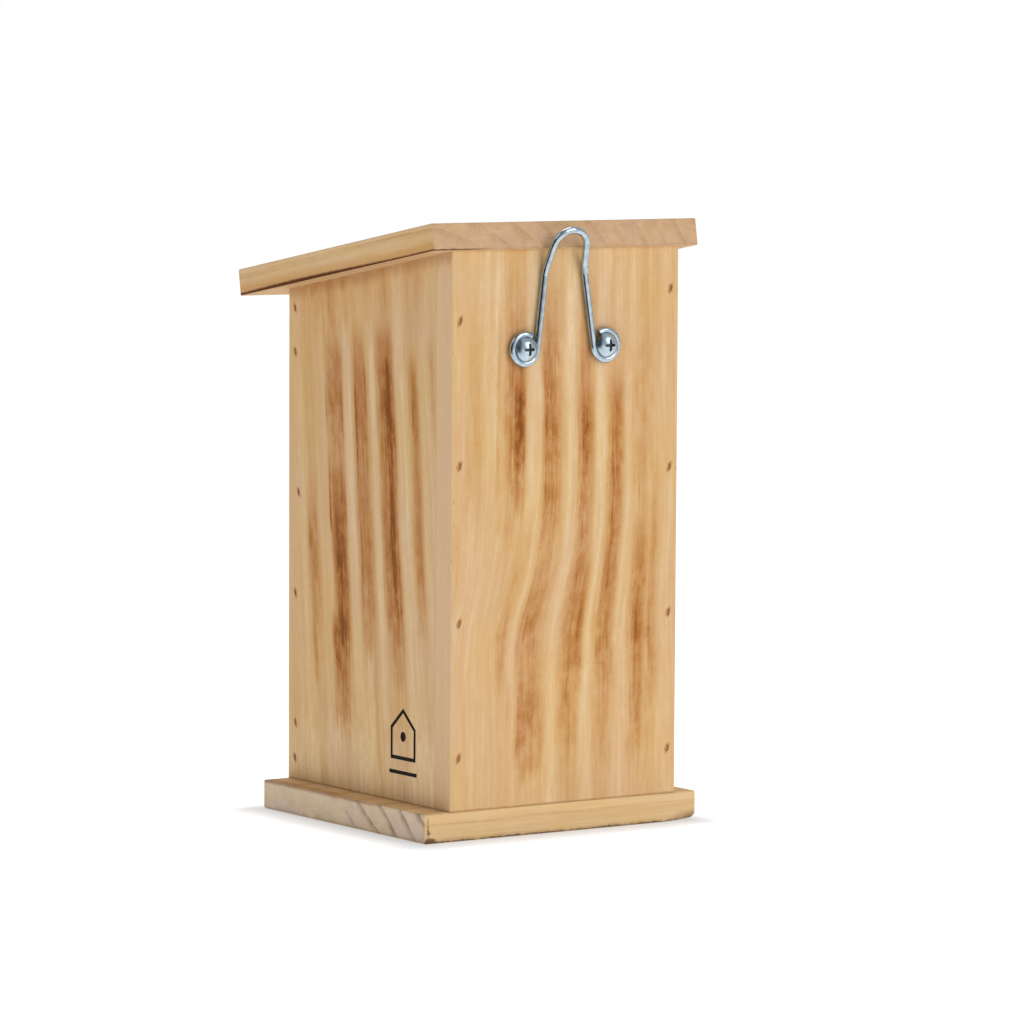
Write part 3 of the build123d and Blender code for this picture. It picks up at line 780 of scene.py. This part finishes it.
# The painted shade of the screws' cross recesses
RECESS_SHADE = srgb(70, 84, 96)
WIRE_ROUGHNESS, HEAD_ROUGHNESS, BRAD_ROUGHNESS = 0.14, 0.25, 0.75
ZINC_RELIEF, BRAD_RELIEF = 0.01, 0.05
BRAD_METALLIC = 0.2
# The cross in a screw's head, from its middle, in millimetres
CROSS_ARM, CROSS_WIDTH, CROSS_SOFT = 2.65, 0.44, 0.1


def zinc(name, screw=None):
    """Bright zinc plate. In a screw's head the cross recess is painted dark, as its shade."""
    g = new_material(name)
    x, y, z = g.object_axes()
    cloud = g.noise(x, y, z, scale=0.35, detail=3.0)
    speck = g.noise(x, y, z, scale=1.4, detail=2.0)
    colour = g.ramp((cloud + 0.5).clamp(), ZINC)
    metallic = 1.0
    if screw:
        low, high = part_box(screw)
        middle = (low + high) * 0.5 * PER_METRE
        across, up = abs(x - middle.x), abs(z - middle.z)
        in_arm = g.step(g.larger(across, up), CROSS_ARM + CROSS_SOFT, CROSS_ARM - CROSS_SOFT)
        width = g.math("MINIMUM", across, up)
        cross = in_arm * g.step(width, CROSS_WIDTH + CROSS_SOFT, CROSS_WIDTH)
        # Painted shade in the cross recess: dark and less metallic
        colour = g.mix(cross, colour, RECESS_SHADE)
        metallic = 1.0 - cross * 0.8
    roughness = cloud * 0.08 + (HEAD_ROUGHNESS if screw else WIRE_ROUGHNESS)
    return g.finish(colour, roughness, speck, ZINC_RELIEF, {"Metallic": metallic})


def dull_steel():
    """The brads' heads, browned by the flame."""
    g = new_material("dull_steel")
    rust = g.noise(*g.object_axes(), scale=1.2, detail=3.0)
    colour = g.ramp((rust + 0.5).clamp(), DULL_STEEL)
    return g.finish(colour, BRAD_ROUGHNESS, rust, BRAD_RELIEF, {"Metallic": BRAD_METALLIC})


brad_metal = dull_steel()
FINISHES = {
    "back_board": pine_back,
    "side_board_right": pine_right,
    "side_board_left": pine_left,
    "front_board": pine_front,
    "sill_board": pine_front,
    "cleaning_door": pine_front,
    "turn_button": pine_base,
    "base_board": pine_base,
    "roof_board": pine_roof,
    "hanger_wire": zinc("zinc_wire"),
    "hanger_screw_right": zinc("zinc_screw_right", "hanger_screw_right"),
    "hanger_screw_left": zinc("zinc_screw_left", "hanger_screw_left"),
    "button_screw": zinc("zinc_button_screw", "button_screw"),
}


def dress(mesh, material):
    """Gives a mesh its one finished material."""
    mesh.materials.clear()
    mesh.materials.append(material)


for node, cad_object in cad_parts.items():
    dress(cad_object.data, FINISHES.get(node, brad_metal))


# ---------------------------------------------------------------------------------------------
# The base board's worn edges, in millimetres
# ---------------------------------------------------------------------------------------------
WORN_GRID = 0.8 * MM
# The radius to which the lower edges are worn, what the chips add to it, and their length
EDGE_WEAR, CHIP_WEAR, CHIP_LENGTH = 0.5, 1.3, 7.0
# The back's -X corner: what it adds to the radius over how far, and how far it is worn up
CORNER_WEAR, CORNER_ROUND = 3.6, 12.0
CORNER_LIFT, CORNER_REACH = 0.8, 20.0


def wear_at(place, corner):
    """The radius to which the lower edges are worn at a place."""
    chip = noise.noise(place / CHIP_LENGTH) + 0.5 * noise.noise(place / (CHIP_LENGTH * 0.3))
    near = (place - corner).length / CORNER_ROUND
    return EDGE_WEAR + CHIP_WEAR * max(chip, 0.0) + CORNER_WEAR * math.exp(-near * near)


def lift_at(place, corner):
    """How far the underside is worn up at a place near the most battered corner."""
    near = max(1.0 - (place - corner).xy.length / CORNER_REACH, 0.0)
    return CORNER_LIFT * near * near


def rounded(inset, height, radius):
    """How far in and up a point moves when the edge that it is near is rounded."""
    over = Vector((max(radius - inset, 0.0), max(radius - height, 0.0)))
    if over.length <= radius:
        return 0.0, 0.0
    over -= over.normalized() * radius
    return over.x, over.y


def worn_base():
    """The base board remeshed finely, with its lower edges rounded and chipped by use."""
    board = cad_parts["base_board"]
    piece = bpy.data.objects.new("base_board_worn", board.data.copy())
    piece.matrix_world = board.matrix_world.copy()
    bpy.context.scene.collection.objects.link(piece)
    remesh = piece.modifiers.new("fine", "REMESH")
    remesh.mode = "VOXEL"
    remesh.voxel_size = WORN_GRID
    evaluated = piece.evaluated_get(bpy.context.evaluated_depsgraph_get())
    fine = bpy.data.meshes.new_from_object(evaluated)
    piece.modifiers.clear()
    piece.data = fine
    low, high = [corner * PER_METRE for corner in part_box("base_board")]
    corner = Vector((low.x, high.y, low.z))
    for vertex in fine.vertices:
        place = (piece.matrix_world @ vertex.co) * PER_METRE
        place.z += lift_at(place, corner) * (1.0 - place.z / high.z)
        radius = wear_at(place, corner)
        moved = []
        for axis in (0, 1):
            near_low = place[axis] - low[axis] < high[axis] - place[axis]
            inset = place[axis] - low[axis] if near_low else high[axis] - place[axis]
            inwards, upwards = rounded(inset, place.z, radius)
            moved.append((inwards if near_low else -inwards, upwards))
        place += Vector((moved[0][0], moved[1][0], max(moved[0][1], moved[1][1])))
        vertex.co = piece.matrix_world.inverted() @ (place * MM)
    for polygon in fine.polygons:
        polygon.use_smooth = True
    dress(fine, pine_base)
    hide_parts("base_board")
    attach(piece, "house")


# ---------------------------------------------------------------------------------------------
# Studio, in metres
# ---------------------------------------------------------------------------------------------
FLOOR_SIZE = 60.0
FLOOR_ALBEDO = (0.55, 0.555, 0.565)
FLOOR_ROUGHNESS = 0.9
# How strongly the floor glows near the object and far from it, and the distances between
# which that changes
NEAR_GLOW, FAR_GLOW = 0.98, 0.84
GLOW_REACH = (0.15, 0.7)
# The soft contact shadow: the glow's share at the base's outline, how far the shadow reaches,
# and how many times shorter it is on the front and the left
CONTACT_GLOW = 0.42
CONTACT_REACH = 0.032
SHORT_SHADOW = 2.0
# The room's glow for light, for what the metal mirrors, and on the unlit side that it mirrors
ROOM_GLOW, GLOSS_GLOW, DARK_GLOW = 0.28, 0.62, 0.04
ROOM_COLOUR = (0.94, 0.97, 1.0)
# The unlit side's direction, and the cosines between which it comes in
DARK_SIDE = (0.885, 0.465, 0.0)
DARK_EDGES = (0.82, 0.93)
# The part of the floor on that side that mirrors dark, its soft ends, and how dark it is
DARK_PATCH, DARK_PATCH_SOFT, DARK_PATCH_SHADE = (0.55, 60.0), (0.25, 0.4), 0.96

# Name, place, what it aims at, side and watts
LIGHTS = (
    ("key", (-0.9, 2.2, 1.5), (0.0, 0.05, 0.12), 1.6, 24.0),
    ("top", (-0.5, -1.2, 2.4), (0.0, 0.0, 0.26), 1.2, 12.0),
    ("fill", (1.75, 0.25, 2.05), (0.0, 0.0, 0.14), 1.2, 4.7),
)

# Angles in degrees, the lens and the sensor in millimetres
CAMERA_AZIMUTH = 145.699
CAMERA_ELEVATION = 5.154
CAMERA_ROLL = 0.304
CAMERA_DISTANCE = 2.49419
CAMERA_AIM = Vector((-0.01176, 0.00733, 0.13584))
CAMERA_LENS, CAMERA_SENSOR = 196.3, 36.0
CAMERA_CLIP = (0.05, 100.0)


def dark_side(g, direction):
    """1 towards the unlit side of the room, which only the bright metal mirrors."""
    level = g.vector_math("MULTIPLY", direction, (1.0, 1.0, 0.0))[0]
    unit = g.vector_math("NORMALIZE", level)[0]
    return g.step(g.vector_math("DOT_PRODUCT", unit, DARK_SIDE)["Value"], *DARK_EDGES)


def from_base(g, position):
    """Distance over the floor from the base board's outline, which counts for more on the front
    and the left, where the shadow is short."""
    low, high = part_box("base_board")
    place = g.node("SeparateXYZ", {0: position}).outputs
    beyond = []
    for axis in (0, 1):
        middle, half = (high[axis] + low[axis]) * 0.5, (high[axis] - low[axis]) * 0.5
        offset = Num(g, place[axis]) - middle
        away = g.larger(offset - half, (-half - offset) * SHORT_SHADOW)
        beyond.append(g.larger(away, 0.0))
    return g.hypot(*beyond)


def floor_white():
    """White paper that glows softly, less where the base stands on it: a painted contact shadow.
    """
    g = new_material("floor_white")
    position = g.node("NewGeometry").outputs["Position"]
    distance = Num(g, g.vector_math("LENGTH", position)["Value"])
    dark = dark_side(g, position) * g.band(distance, *DARK_PATCH, *DARK_PATCH_SOFT)
    glossy = Num(g, g.node("LightPath").outputs["Is Glossy Ray"])
    lit = 1.0 - glossy * dark * DARK_PATCH_SHADE
    white = g.step(distance, *GLOW_REACH) * (FAR_GLOW - NEAR_GLOW) + NEAR_GLOW
    clear = g.step(from_base(g, position), 0.0, CONTACT_REACH)
    contact = clear * (1.0 - CONTACT_GLOW) + CONTACT_GLOW
    glow = {"Emission Color": WHITE, "Emission Strength": lit * white * contact}
    return g.finish(g.mix(lit, BLACK, FLOOR_ALBEDO), FLOOR_ROUGHNESS, others=glow)


def make_floor():
    mesh = bpy.data.meshes.new("floor")
    half = FLOOR_SIZE / 2
    corners = [(-half, -half, 0.0), (half, -half, 0.0), (half, half, 0.0), (-half, half, 0.0)]
    mesh.from_pydata(corners, [], [(0, 1, 2, 3)])
    floor = bpy.data.objects.new("floor", mesh)
    bpy.context.scene.collection.objects.link(floor)
    paper = floor_white()
    paper.cycles.emission_sampling = "NONE"
    mesh.materials.append(paper)


def make_world():
    """White where the camera sees past the floor, a soft grey room for light, and a brighter
    one for what the metal mirrors."""
    world = bpy.data.worlds.new("studio")
    g = Graph(world)

    def glow(colour, strength):
        return g.node("Background", {"Color": colour, "Strength": strength}).outputs[0]

    def choose(factor, off, on):
        return g.node("MixShader", {"Fac": factor, 1: off, 2: on}).outputs[0]

    path = g.node("LightPath").outputs
    direction = g.node("TexCoord").outputs["Generated"]
    bright, unlit = glow(ROOM_COLOUR, GLOSS_GLOW), glow(ROOM_COLOUR, DARK_GLOW)
    mirrored = choose(dark_side(g, direction), bright, unlit)
    lighting = choose(path["Is Glossy Ray"], glow(ROOM_COLOUR, ROOM_GLOW), mirrored)
    seen = choose(path["Is Camera Ray"], lighting, glow(WHITE, 1.0))
    g.node("OutputWorld", {"Surface": seen})
    world.cycles.sampling_method = "NONE"
    bpy.context.scene.world = world


def area_light(name, place, aim, side, power):
    data = bpy.data.lights.new(name, "AREA")
    data.shape = "RECTANGLE"
    data.size = data.size_y = side
    data.energy = power
    light = bpy.data.objects.new(name, data)
    light.location = place
    light.rotation_mode = "QUATERNION"
    light.rotation_quaternion = (Vector(aim) - Vector(place)).to_track_quat("-Z", "Y")
    bpy.context.scene.collection.objects.link(light)


def make_camera():
    """A camera at the photo's viewing angle: azimuth and elevation say where it stands."""
    azimuth, elevation = math.radians(CAMERA_AZIMUTH), math.radians(CAMERA_ELEVATION)
    flat = Vector((math.sin(azimuth), -math.cos(azimuth), 0.0)) * math.cos(elevation)
    back = flat + Vector((0.0, 0.0, math.sin(elevation)))
    right = back.cross(Vector((0.0, 0.0, -1.0))).normalized()
    level = Matrix((right, back.cross(right), back)).transposed()
    roll = Matrix.Rotation(math.radians(CAMERA_ROLL), 3, "Z")
    data = bpy.data.cameras.new("camera")
    data.sensor_width = CAMERA_SENSOR
    data.lens = CAMERA_LENS
    data.clip_start, data.clip_end = CAMERA_CLIP
    camera = bpy.data.objects.new("camera", data)
    place = Matrix.Translation(CAMERA_AIM + back * CAMERA_DISTANCE)
    camera.matrix_world = place @ (level @ roll).to_4x4()
    bpy.context.scene.collection.objects.link(camera)
    bpy.context.scene.camera = camera


worn_base()
make_floor()
make_world()
make_camera()
for light in LIGHTS:
    area_light(*light)
bpy.context.scene.view_settings.view_transform = "Standard"
bpy.context.scene.view_settings.look = "None"
